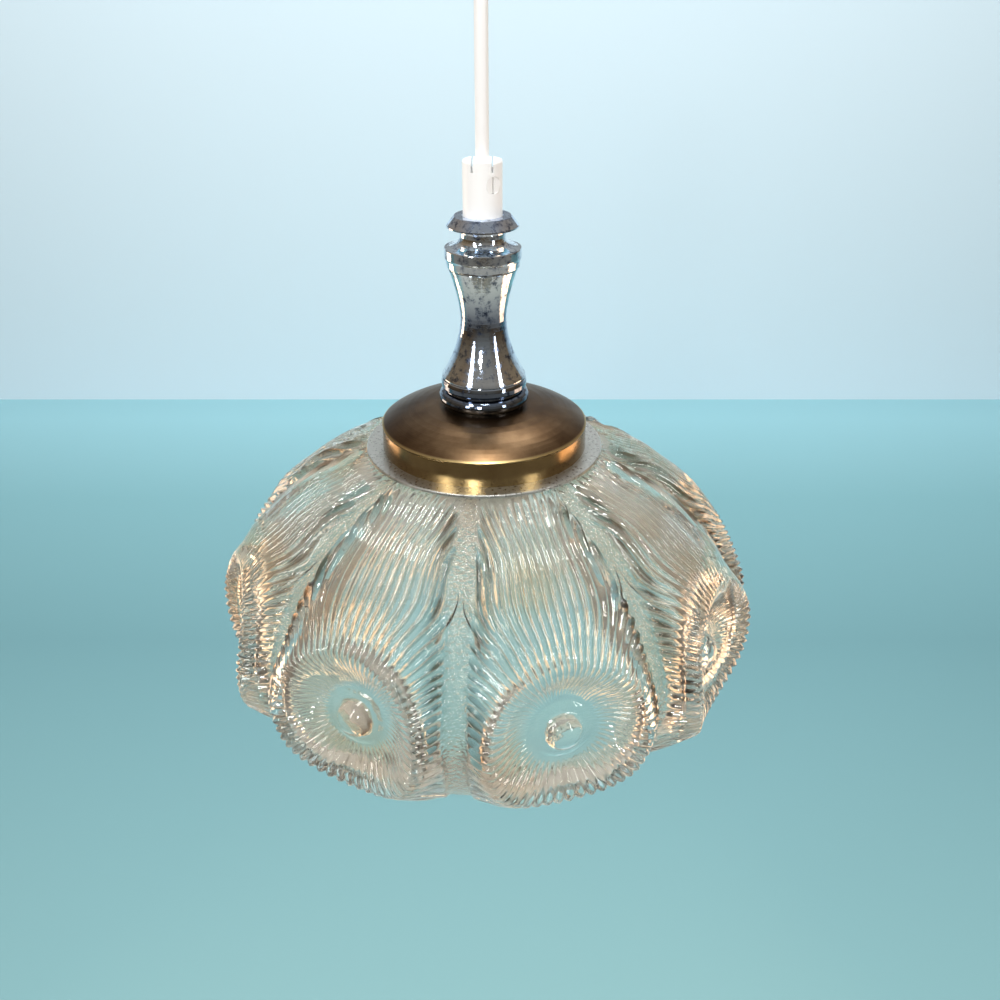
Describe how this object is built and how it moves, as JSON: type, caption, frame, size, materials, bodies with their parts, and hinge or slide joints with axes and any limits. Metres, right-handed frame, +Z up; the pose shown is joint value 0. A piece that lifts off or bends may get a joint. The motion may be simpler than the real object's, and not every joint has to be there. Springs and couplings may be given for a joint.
{
  "type": "pendant ceiling light",
  "caption": "Pendant ceiling light: a taut white cord holds a turned chrome stem, a brass cap and a clear lobed glass shade with round rosettes over a screw-cap bulb.",
  "frame": {"origin": "centre of the ceiling bracket's upper face, on the ceiling, on the lamp's axis", "axes": "+Z up along the lamp's axis; the two bracket holes lie along X; -Y is the front"},
  "size_m": [0.2354, 0.2354, 0.3672],
  "materials": {
    "steel_zinc": "zinc plated",
    "white_plastic": "gloss",
    "white_gloss": "gloss",
    "bright_chrome": "polished, lightly pitted",
    "aged_brass": "spun, brown patina",
    "contact_brass": "plain",
    "core_insulation": "plain",
    "ceramic_white": "glazed",
    "satin_disc": "satin",
    "gasket_rubber": "matt",
    "shade_glass": "clear, pressed pattern",
    "bulb_clear": "clear",
    "bulb_metal": "nickel plated",
    "contact_black": "plain"
  },
  "bodies": {
    "ceiling_rose": {"ceiling_bracket": "steel_zinc", "bracket_eye": "steel_zinc", "ceiling_cup": "white_plastic", "cup_screws": "bright_chrome", "cup_bush": "white_plastic"},
    "link": {"chain_link": "steel_zinc"},
    "pendant": {"suspension_clip": "white_plastic", "clip_screw": "steel_zinc", "terminal_block": "white_plastic", "block_screws": "contact_brass", "block_cores": "core_insulation", "flex": "white_gloss", "grip_body": "white_gloss", "grip_jaw": "white_gloss", "grip_screw": "white_gloss", "stem_collar": "bright_chrome", "stem_bead": "bright_chrome", "stem_waist": "bright_chrome", "foot_band": "bright_chrome", "base_ring": "bright_chrome", "threaded_tube": "steel_zinc", "brass_cap": "aged_brass", "cap_washer": "steel_zinc", "lock_nut": "steel_zinc", "lamp_cores": "core_insulation", "holder_cap": "white_plastic", "holder_insert": "ceramic_white", "holder_contacts": "contact_brass", "holder_screws": "steel_zinc", "screw_shell": "contact_brass", "holder_skirt": "white_plastic", "metal_disc": "satin_disc", "glass_gasket": "gasket_rubber", "glass_shade": "shade_glass"},
    "ring": {"shade_ring": "white_plastic"},
    "bulb": {"bulb_glass": "bulb_clear", "bulb_cap": "bulb_metal", "bulb_contact": "contact_black", "bulb_stem": "bulb_clear", "bulb_filament": "steel_zinc"}
  },
  "joints": [
    {"name": "swing_front", "type": "hinge", "parent": "ceiling_rose", "child": "link", "pos_m": [0, 0, -0.014], "axis": [1, 0, 0], "range_deg": [-4, 4]},
    {"name": "swing_side", "type": "hinge", "parent": "link", "child": "pendant", "pos_m": [0, 0, -0.022], "axis": [0, 1, 0], "range_deg": [-4, 4]},
    {"name": "ring_turn", "type": "hinge", "parent": "pendant", "child": "ring", "pos_m": [0, 0, -0.253], "axis": [0, 0, 1], "continuous": true},
    {"name": "bulb_turn", "type": "hinge", "parent": "pendant", "child": "bulb", "pos_m": [0, 0, -0.266], "axis": [0, 0, 1], "continuous": true}
  ]
}
